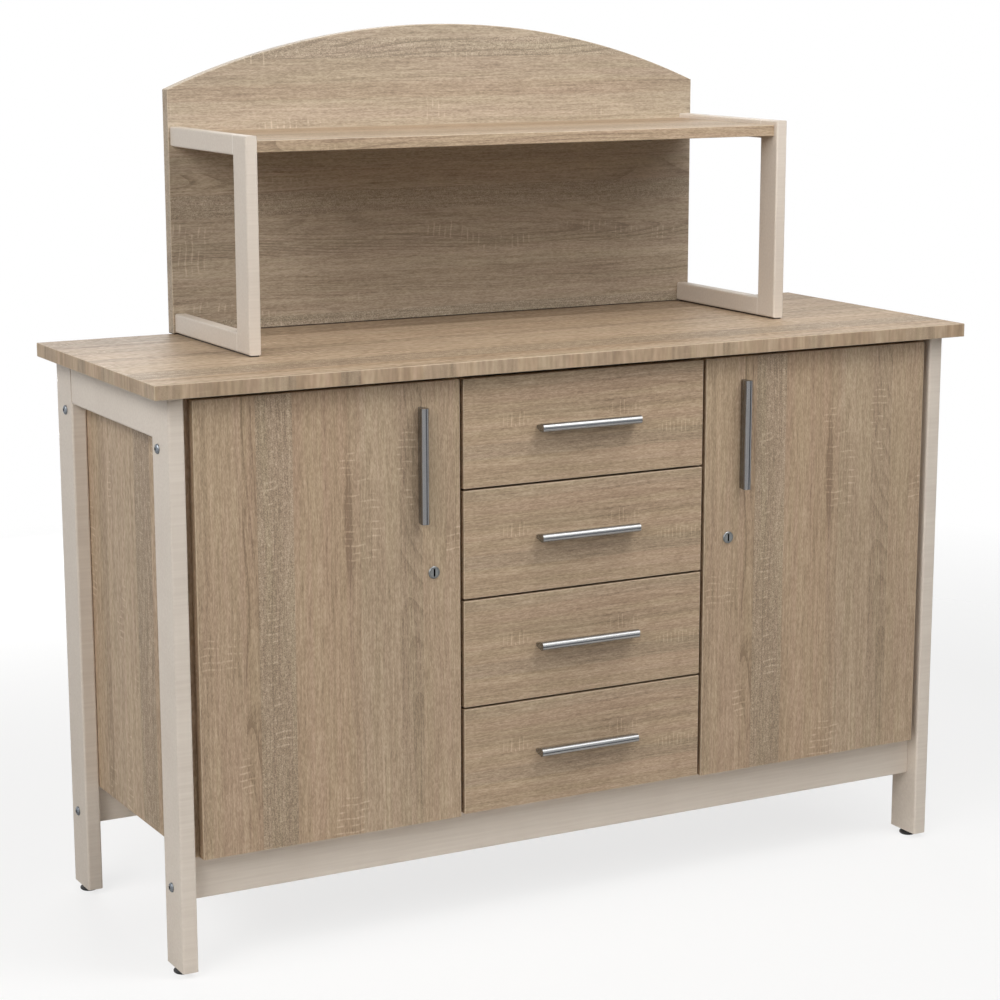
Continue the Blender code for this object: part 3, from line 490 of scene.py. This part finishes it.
# A head's diameter and height, the width and depth of its recess, and the recess's points.
sleeve_head = (0.0072, 0.0005, 0.0050, 0.00045, HEXAGON)
panel_screw = (0.0080, 0.0013, 0.0052, 0.0009, CROSS)
shelf_low, shelf_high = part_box("cupboard_shelf_right")
peg_z = shelf_low.z - PEG_DROP
rows_y = (shelf_low.y + FRONT_ROW_INSET, shelf_high.y - REAR_ROW_INSET)
sleeve_rows = [(y, peg_z + step * SLEEVE_PITCH) for y in rows_y for step in SLEEVE_STEPS]
walls = ((shelf_low.x - SHELF_PLAY, 1), (shelf_high.x + SHELF_PLAY, -1))
for side, word in SIDES:
    heads = [((side * x, y, z), (side * way, 0, 0)) for x, way in walls for y, z in sleeve_rows]
    fasteners("shelf_peg_sleeves_" + word, heads, sleeve_head, foot_plastic, "cabinet")
partition_x = (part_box("drawer_front_1")[1].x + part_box("door_right")[0].x) / 2
back_screws = [(side * partition_x, LOWEST_SCREW_Z + step * UPRIGHT_SCREW_PITCH)
               for side in (-1, 1) for step in range(5)]
level_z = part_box("bottom_panel")[0].z + LEVEL_SCREW_RISE
back_screws += [(FIRST_SCREW_X + step * LEVEL_SCREW_PITCH, level_z) for step in range(9)]
back_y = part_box("back_panel")[1].y
heads = [((x, back_y, z), (0, 1, 0)) for x, z in back_screws]
fasteners("back_panel_screws", heads, panel_screw, bolt_zinc, "cabinet")

# Worktop.
# One sheet of the same board, 22 mm, with the grain along it and edge banding all round,
# whose print runs across the edge in short upright stripes.
oak_worktop = sawn_oak("sawn_oak_melamine_worktop", X, (0.9, 0.15, 0.0), striped_edges=True,
                       tones=(-0.09, 0.13), coarse=(2.6, 1.2))
finish_with(oak_worktop, "worktop")

# Doors.
# Board with upright grain, hung on two concealed hinges each, with a bar handle and a cam
# lock. The handles are extruded aluminium, brushed along their length and clear anodised.
DOORS = ("left", "right")
GROOVE_HALF_WIDTH = 0.0011
GROOVE_REACH = 0.0016
KEYWAY_START = 0.0004
KEYWAY_END = 0.0100

# The doors' sheet from its left edge: where a strip starts in millimetres, then the shares of
# pale tone, mottling and growth lines. Its group of saw marks and the dark sliver beside it are
# given from the lower left corner, as place and half widths in X and Z.
DOOR_STRIPS = ((0, 0.40, 0.3, 0.2), (16, 0.62, 0.2, 0.0), (73, 0.45, 0.1, 1.0), (97, 0.42, 1.0, 0.0),
               (155, 0.55, 0.0, 0.2), (245, 0.40, 0.3, 0.6), (264, 0.66, 0.6, 0.0),
               (331, 0.52, 0.7, 0.7), (368, 0.60, 0.4, 0.0))
DOOR_MARKS = ((0.268, 0.485, 0.034, 0.088),)
DOOR_WEDGES = ((0.246, 0.485, 0.007, 0.100),)


def brushed_aluminium(name, along, colours, groove):
    """Anodised aluminium brushed along one axis: bright, with fine lines that drag the highlight.

    The lines are drawn 1.2 mm wide, coarser than life, so that they show. The groove along the
    nose is painted dark, a painted shade in the groove: it is given as the axis across the bars,
    the middle of the first bar, the pitch of the bars, and the depth (Y) where it ends.
    """
    material, shader = new_material(name)
    place = add_node(material, "TexCoord", {}).outputs["Object"]
    scale = [1 / 0.0012] * 3
    scale[along] = 1 / 0.060
    drawn = add_node(material, "VectorMath", {0: place, 1: scale}, operation="MULTIPLY")
    brush = add_node(material, "TexNoise", {"Vector": drawn, "Scale": 1.0, "Detail": 2.0})
    bump = add_node(material, "Bump", {"Height": brush, "Strength": 0.08, "Distance": 0.0002})
    gloss = add_node(material, "MapRange", {"Value": brush, "From Min": 0.3, "From Max": 0.7,
                                            "To Min": 0.18, "To Max": 0.30})
    tint = add_node(material, "MixRGB", {"Fac": brush, "Color1": linear(colours[0]),
                                         "Color2": linear(colours[1])})
    axis, middle, pitch, floor_y = groove
    parts = add_node(material, "SeparateXYZ", {0: place})
    across = add_node(material, "Math", {0: parts.outputs[axis], 1: middle + pitch / 2,
                                         2: middle - pitch / 2}, operation="WRAP")
    # Painted shade: the groove's floor is painted dark grey.
    groove_painted_shade = add_node(material, "Math", {0: across, 1: middle, 2: GROOVE_HALF_WIDTH},
                     operation="COMPARE")
    ahead = add_node(material, "Math", {0: parts.outputs[1], 1: floor_y}, operation="LESS_THAN")
    groove_painted_shade = add_node(material, "Math", {0: groove_painted_shade, 1: ahead}, operation="MULTIPLY")
    tint = add_node(material, "MixRGB", {"Fac": groove_painted_shade, "Color1": tint, "Color2": linear("#6C6E72")})
    shader.inputs["Metallic"].default_value = 1.0
    feed(material, shader, Base_Color=tint.outputs[0], Roughness=gloss.outputs[0],
         Normal=bump.outputs[0])
    return material


door_low, door_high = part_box("door_left")
door_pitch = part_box("door_right")[0].x - door_low.x
marks = [(door_low.x + x, door_low.z + z, *half) for x, z, *half in DOOR_MARKS]
wedges = [(door_low.x + x, door_low.z + z, *half) for x, z, *half in DOOR_WEDGES]
oak_doors = sawn_oak("sawn_oak_melamine_doors", Z, repeat=(X, door_low.x, door_pitch),
                     strips=DOOR_STRIPS, marks_at=marks, wedges_at=wedges)
bar_low, bar_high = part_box("door_handle_left")
bar_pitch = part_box("door_handle_right")[0].x - bar_low.x
bar_groove = (X, (bar_low.x + bar_high.x) / 2, bar_pitch, bar_low.y + GROOVE_REACH)
# The upright bars get a darker copy of the level bars' aluminium: painted shade.
handle_upright_shaded = brushed_aluminium("brushed_aluminium_upright_shaded", Z, ("#787777", "#8E8D8D"), bar_groove)
lock_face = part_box("lock_body_left")[0].y
keyway = (lock_face + KEYWAY_START, lock_face + KEYWAY_END)
lock_nickel = plated_metal("satin_nickel", "#686A6A", "#848685", 0.34)
# The plug's keyway is painted black from just behind its face: a painted shade in the slot.
plug_nickel = plated_metal("satin_nickel_plug", "#727474", "#8E908F", 0.34, keyway)
hinge_nickel = plated_metal("bright_nickel_hinge", "#A5A5A3", "#B9BABB", 0.26)
for word in DOORS:
    finish_with(oak_doors, "door_" + word)
    finish_with(handle_upright_shaded, "door_handle_" + word)
    finish_with(lock_nickel, "lock_body_" + word, "lock_keeper_" + word)
    finish_with(plug_nickel, "lock_cam_" + word)
    for level in ("lower", "upper"):
        finish_with(hinge_nickel, "hinge_cup_%s_%s" % (word, level))
        finish_with(hinge_nickel, "hinge_arm_%s_%s" % (word, level))

# Door fixings.
# Cross-head screws hold the hinge cups, the mounting plates, the keepers and, from behind, the
# handles; small black plastic buffers keep each closed door off the partition's edge.
HANDLE_HOLES = 0.128
CUP_FLANGE = 0.0011
CUP_SCREW_RISE = 0.023
PLATE_THICKNESS = 0.003
PLATE_SETBACK = 0.027
PLATE_SCREW_RISE = 0.016
ARM_SCREW_STEPS = (-0.012, 0.006, 0.024)
KEEPER_THICKNESS = 0.002
KEEPER_SCREW_SETBACK = 0.0034
KEEPER_SCREW_RISE = 0.014
BUFFER_RADIUS = 0.0025
BUFFER_FLATTENING = 0.32
DOOR_BUFFER_INSET = 0.0030
DOOR_BUFFER_HEIGHTS = (0.215, 0.855)
wood_screw = (0.0065, 0.0013, 0.0042, 0.0010, CROSS)
handle_screw = (0.0085, 0.0024, 0.0050, 0.0015, CROSS)
adjusting_screw = (0.0060, 0.0010, 0.0042, 0.0008, CROSS)
keeper_screw = (0.0048, 0.0010, 0.0032, 0.0007, CROSS)


def buffers(name, places, body):
    """Flat domes on the back of a front, 5 mm wide and 0.8 mm thick."""
    shape = bmesh.new()
    for place in places:
        size = Matrix.Diagonal((1.0, BUFFER_FLATTENING, 1.0, 1.0))
        made = bmesh.ops.create_uvsphere(shape, u_segments=16, v_segments=8, radius=BUFFER_RADIUS,
                                         matrix=Matrix.Translation(place) @ size)
        geom = made["verts"] + list({edge for vert in made["verts"] for edge in vert.link_edges})
        geom += list({face for vert in made["verts"] for face in vert.link_faces})
        cut = bmesh.ops.bisect_plane(shape, geom=geom, plane_co=place, plane_no=(0, 1, 0),
                                     clear_inner=True)
        rim = [item for item in cut["geom_cut"] if isinstance(item, bmesh.types.BMEdge)]
        bmesh.ops.holes_fill(shape, edges=rim, sides=0)
    add_piece(name, shape, foot_plastic, body)


door_back = door_high.y
for side, word in SIDES:
    door_heads = []
    plate_heads = []
    arm_heads = []
    for level in ("lower", "upper"):
        cup_low, cup_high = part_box("hinge_cup_%s_%s" % (word, level))
        arm_low, arm_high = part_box("hinge_arm_%s_%s" % (word, level))
        cup_x = (cup_low.x + cup_high.x) / 2
        height = (cup_low.z + cup_high.z) / 2
        plate_x = arm_high.x - PLATE_THICKNESS if side > 0 else arm_low.x + PLATE_THICKNESS
        arm_x = arm_low.x if side > 0 else arm_high.x
        plate_y = arm_low.y + PLATE_SETBACK
        for way in (-1, 1):
            cup_z = height + way * CUP_SCREW_RISE
            plate_z = height + way * PLATE_SCREW_RISE
            door_heads.append(((cup_x, door_back + CUP_FLANGE, cup_z), (0, 1, 0)))
            plate_heads.append(((plate_x, plate_y, plate_z), (-side, 0, 0)))
        arm_heads += [((arm_x, plate_y + step, height), (-side, 0, 0)) for step in ARM_SCREW_STEPS]
    body = word + "_door"
    fasteners("hinge_cup_screws_" + word, door_heads, wood_screw, bolt_zinc, body)
    fasteners("hinge_plate_screws_" + word, plate_heads, wood_screw, bolt_zinc, "cabinet")
    fasteners("hinge_adjusting_screws_" + word, arm_heads, adjusting_screw, bolt_zinc, "cabinet")
    bar_low, bar_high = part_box("door_handle_" + word)
    bar_x = (bar_low.x + bar_high.x) / 2
    bar_z = (bar_low.z + bar_high.z) / 2
    heads = [((bar_x, door_back, bar_z + way * HANDLE_HOLES / 2), (0, 1, 0)) for way in (-1, 1)]
    fasteners("door_handle_screws_" + word, heads, handle_screw, bolt_zinc, body)
    keep_low, keep_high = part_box("lock_keeper_" + word)
    keep_x = keep_low.x + KEEPER_THICKNESS if side > 0 else keep_high.x - KEEPER_THICKNESS
    keep_y = keep_low.y + KEEPER_SCREW_SETBACK
    keep_z = (keep_low.z + keep_high.z) / 2
    heads = [((keep_x, keep_y, keep_z + way * KEEPER_SCREW_RISE), (side, 0, 0)) for way in (-1, 1)]
    fasteners("keeper_screws_" + word, heads, keeper_screw, bolt_zinc, "cabinet")
    edge_x = side * (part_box("door_right")[0].x + DOOR_BUFFER_INSET)
    buffers("door_buffers_" + word, [(edge_x, door_back, z) for z in DOOR_BUFFER_HEIGHTS], body)

# Drawers.
# Four fronts cut from one decor sheet, so that all show the same print, with level handles.
# The boxes are white melamine with grooved sides that run on enamelled steel strips.
DRAWERS = range(1, 5)

# The drawers' sheet: its strips from the lower edge, as on the doors, and its groups of saw marks,
# as distance from the left edge, drop from the upper edge, and half widths in X and Z.
DRAWER_STRIPS = ((0, 0.55, 0.2, 0.0), (24, 0.75, 0.1, 0.0), (41, 0.40, 0.7, 0.0),
                 (63, 0.60, 0.2, 0.0), (88, 0.80, 0.1, 0.0), (104, 0.35, 0.3, 0.3),
                 (121, 0.60, 0.2, 0.0), (150, 0.45, 0.6, 0.0))
DRAWER_MARKS = ((0.288, 0.064, 0.032, 0.013), (0.094, 0.070, 0.030, 0.014),
                (0.375, 0.095, 0.014, 0.010))


def smooth_white(name, colour, roughness):
    """White melamine facing or baked enamel: smooth, with a faint pearl texture.

    The texture is drawn at 2 mm, coarser than life, so that it shows.
    """
    material, shader = new_material(name)
    place = add_node(material, "TexCoord", {}).outputs["Object"]
    pearl = add_node(material, "TexNoise", {"Vector": place, "Scale": 1 / 0.002, "Detail": 2.0})
    cloud = add_node(material, "TexNoise", {"Vector": place, "Scale": 1 / 0.120, "Detail": 2.0})
    shade = add_node(material, "MixRGB", {"Fac": cloud.outputs["Fac"], "Color1": linear(colour),
                                          "Color2": linear("#DAD6CE")})
    bump = add_node(material, "Bump", {"Height": pearl.outputs["Fac"], "Strength": 0.08,
                                       "Distance": 0.0002})
    shader.inputs["Roughness"].default_value = roughness
    feed(material, shader, Base_Color=shade.outputs[0], Normal=bump.outputs[0])
    return material


front_low, front_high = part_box("drawer_front_4")
drawer_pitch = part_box("drawer_front_3")[0].z - front_low.z
marks = [(front_low.x + x, front_high.z - drop, *half) for x, drop, *half in DRAWER_MARKS]
oak_drawers = sawn_oak("sawn_oak_melamine_drawers", X, (0.4, 2.0, 0.9), strips=DRAWER_STRIPS,
                       repeat=(Z, front_low.z, drawer_pitch), marks_at=marks, tones=(-0.09, 0.10),
                       saw_pitch=0.0072)
bar_low, bar_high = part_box("drawer_handle_4")
bar_groove = (Z, (bar_low.z + bar_high.z) / 2, drawer_pitch, bar_low.y + GROOVE_REACH)
# The level bars get a paler copy of the upright bars' aluminium: painted light.
handle_level_lit = brushed_aluminium("brushed_aluminium_level_lit", X, ("#8A8A8A", "#A4A4A3"), bar_groove)
box_white = smooth_white("white_pearl_melamine", "#E4E1DA", 0.42)
runner_white = smooth_white("white_baked_enamel", "#E2E0DB", 0.30)
for number in DRAWERS:
    finish_with(oak_drawers, "drawer_front_%d" % number)
    finish_with(handle_level_lit, "drawer_handle_%d" % number)
    finish_with(box_white, "drawer_box_%d" % number)
    finish_with(runner_white, "drawer_runner_%d_left" % number, "drawer_runner_%d_right" % number)

# Drawer fixings.
# From inside each box, two screws hold the handle and four the front; plastic buffers at the
# front's corners meet the partitions' edges.
BOX_WALL = 0.015
FRONT_SCREW_X = 0.155
FRONT_SCREW_RISES = (0.035, 0.090)
DRAWER_BUFFER_INSET = 0.0029
DRAWER_BUFFER_RISE = 0.02
front_screw = (0.0075, 0.0018, 0.0048, 0.0012, CROSS)
for number in DRAWERS:
    body = "drawer_%d" % number
    front_low, front_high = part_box("drawer_front_%d" % number)
    box_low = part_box("drawer_box_%d" % number)[0]
    wall_y = box_low.y + BOX_WALL
    bar_low, bar_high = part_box("drawer_handle_%d" % number)
    bar_z = (bar_low.z + bar_high.z) / 2
    heads = [((way * HANDLE_HOLES / 2, wall_y, bar_z), (0, 1, 0)) for way in (-1, 1)]
    fasteners("drawer_handle_screws_%d" % number, heads, handle_screw, bolt_zinc, body)
    heads = [((way * FRONT_SCREW_X, wall_y, box_low.z + rise), (0, 1, 0))
             for way in (-1, 1) for rise in FRONT_SCREW_RISES]
    fasteners("drawer_front_screws_%d" % number, heads, front_screw, bolt_zinc, body)
    corner_x = front_high.x - DRAWER_BUFFER_INSET
    levels = (front_low.z + DRAWER_BUFFER_RISE, front_high.z - DRAWER_BUFFER_RISE)
    corners = [(way * corner_x, front_high.y, z) for way in (-1, 1) for z in levels]
    buffers("drawer_buffers_%d" % number, corners, body)

# Hutch.
# Arched back panel and a shelf in the same decor, carried by two square brackets of steel
# tube that stand on thin rubber pads.
PANEL_SHADOW_LINE_HEIGHT = 0.0016
BRACKET_TUBE = 0.050
BRACKET_SEAM_HIGHLIGHT_HALF_WIDTH = 0.0006
PAD_TOP = 0.0019
# The back panel's lowest 1.6 mm is painted dark: a painted shadow line where it stands on the worktop.
oak_hutch = sawn_oak("sawn_oak_melamine_hutch", X, (0.0, 0.7, 0.3), warmth=(0.87, 0.78, 0.006),
                     tones=(-0.02, 0.06), foot_z=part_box("hutch_back_panel")[0].z + PANEL_SHADOW_LINE_HEIGHT)
bracket_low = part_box("hutch_bracket_left")[0]
# The brackets' seam colour is a painted highlight: a pale line where the arm butts against the post.
bracket_seam_painted_highlight = (bracket_low.y + BRACKET_TUBE, BRACKET_SEAM_HIGHLIGHT_HALF_WIDTH, "#F4EEE6")
bracket_paint = powder_coat("greige_powder_coat_on_brackets", bracket_seam_painted_highlight, bracket_low.z + PAD_TOP)
finish_with(oak_hutch, "hutch_back_panel")
oak_shelf = sawn_oak("sawn_oak_melamine_hutch_shelf", X, (0.55, 0.1, 0.43), tones=(-0.01, 0.04))
finish_with(oak_shelf, "hutch_shelf")
finish_with(bracket_paint, "hutch_bracket_left", "hutch_bracket_right")

# Studio.
# A pale floor that fades into a white surround, under soft round lamps: three in front, one at
# the left, one above and two behind.
CAMERA_PLACE = (-2.0132, -3.6742, 1.4616)
CAMERA_YAW = 28.69
CAMERA_PITCH = 12.09
FOCAL_PIXELS = 2566
IMAGE_CENTRE = (510.9, 538.5)
IMAGE_SIZE = 1000
FLOOR_RADIUS = 3.2
FLOOR_FADE_START = 1.6
FLOOR_FADE_END = 3.1
FLOOR_GLOW = 0.75
WORLD_FILL = 0.01


def area_lamp(name, place, target, size, power):
    """A round lamp of so many metres and watts, aimed at a target and unseen by the camera."""
    lamp = bpy.data.lights.new(name, "AREA")
    lamp.shape = "DISK"
    lamp.size = size
    lamp.energy = power
    holder = bpy.data.objects.new(name, lamp)
    bpy.context.collection.objects.link(holder)
    holder.location = place
    holder.rotation_euler = (Vector(target) - Vector(place)).to_track_quat("-Z", "Y").to_euler()
    holder.visible_camera = False


floor_shape = bmesh.new()
bmesh.ops.create_circle(floor_shape, cap_ends=True, segments=96, radius=FLOOR_RADIUS)
floor_mesh = bpy.data.meshes.new("studio_floor")
floor_shape.to_mesh(floor_mesh)
floor_shape.free()
floor = bpy.data.objects.new("studio_floor", floor_mesh)
bpy.context.collection.objects.link(floor)

floor_paint, floor_shader = new_material("pale_studio_floor")
floor_place = add_node(floor_paint, "TexCoord", {}).outputs["Object"]
reach = add_node(floor_paint, "VectorMath", {0: floor_place}, operation="LENGTH").outputs["Value"]
fade = add_node(floor_paint, "MapRange", {"Value": reach, "From Min": FLOOR_FADE_START,
                                          "From Max": FLOOR_FADE_END})
floor_shader.inputs["Base Color"].default_value = linear("#F2F1EF")
floor_shader.inputs["Roughness"].default_value = 0.8
looked_at = add_node(floor_paint, "LightPath", {}).outputs["Is Camera Ray"]
glow_share = add_node(floor_paint, "Math", {0: looked_at, 1: FLOOR_GLOW}, operation="MULTIPLY")
glow = add_node(floor_paint, "Emission", {"Color": (1.0, 1.0, 1.0, 1.0), "Strength": 1.0})
pale = add_node(floor_paint, "MixShader", {0: glow_share.outputs[0], 1: floor_shader.outputs[0],
                                           2: glow.outputs[0]})
clear = add_node(floor_paint, "BsdfTransparent", {})
surround = add_node(floor_paint, "MixShader", {0: fade.outputs[0], 1: pale.outputs[0],
                                               2: clear.outputs[0]})
floor_paint.node_tree.links.new(surround.outputs[0],
                                floor_paint.node_tree.nodes["Material Output"].inputs["Surface"])
floor_mesh.materials.append(floor_paint)

area_lamp("lamp_front", (0.2, -3.0, 2.3), (0.0, 0.0, 0.9), 1.4, 14)
area_lamp("lamp_front_left", (-3.0, -2.0, 2.4), (0.0, 0.0, 0.8), 1.8, 56)
area_lamp("lamp_front_right", (1.8, -2.0, 3.2), (0.0, 0.0, 0.9), 2.0, 30)
area_lamp("lamp_left", (-2.8, -0.3, 3.0), (0.0, 0.0, 0.8), 1.6, 34)
area_lamp("lamp_above", (0.3, -1.0, 2.5), (0.0, 0.0, 1.0), 1.0, 21)
area_lamp("lamp_behind", (0.9, 3.0, 2.4), (0.0, 0.2, 0.7), 2.0, 24)
area_lamp("lamp_back", (0.0, 3.0, 0.5), (0.0, 0.3, 0.6), 0.8, 22)

world = bpy.data.worlds.new("white_surround")
bpy.context.scene.world = world
world.use_nodes = True
ray = add_node(world, "LightPath", {})
seen = add_node(world, "Math", {0: ray.outputs["Is Camera Ray"], 1: ray.outputs["Is Glossy Ray"]},
                operation="MAXIMUM")
seen = add_node(world, "Math", {0: seen.outputs[0], 1: ray.outputs["Is Transmission Ray"]},
                operation="MAXIMUM")
brightness = add_node(world, "MapRange", {"Value": seen.outputs[0], "To Min": WORLD_FILL,
                                          "To Max": 1.0})
world.node_tree.links.new(brightness.outputs[0], world.node_tree.nodes["Background"].inputs["Strength"])
world.node_tree.nodes["Background"].inputs["Color"].default_value = (1.0, 1.0, 1.0, 1.0)

lens = bpy.data.cameras.new("photograph_view")
lens.sensor_width = 36.0
lens.lens = FOCAL_PIXELS / IMAGE_SIZE * lens.sensor_width
lens.shift_x = 0.5 - IMAGE_CENTRE[0] / IMAGE_SIZE
lens.shift_y = IMAGE_CENTRE[1] / IMAGE_SIZE - 0.5
camera = bpy.data.objects.new("photograph_view", lens)
bpy.context.collection.objects.link(camera)
camera.location = CAMERA_PLACE
camera.rotation_euler = (math.radians(90 - CAMERA_PITCH), 0.0, math.radians(-CAMERA_YAW))
bpy.context.scene.camera = camera
bpy.context.scene.view_settings.view_transform = "Standard"
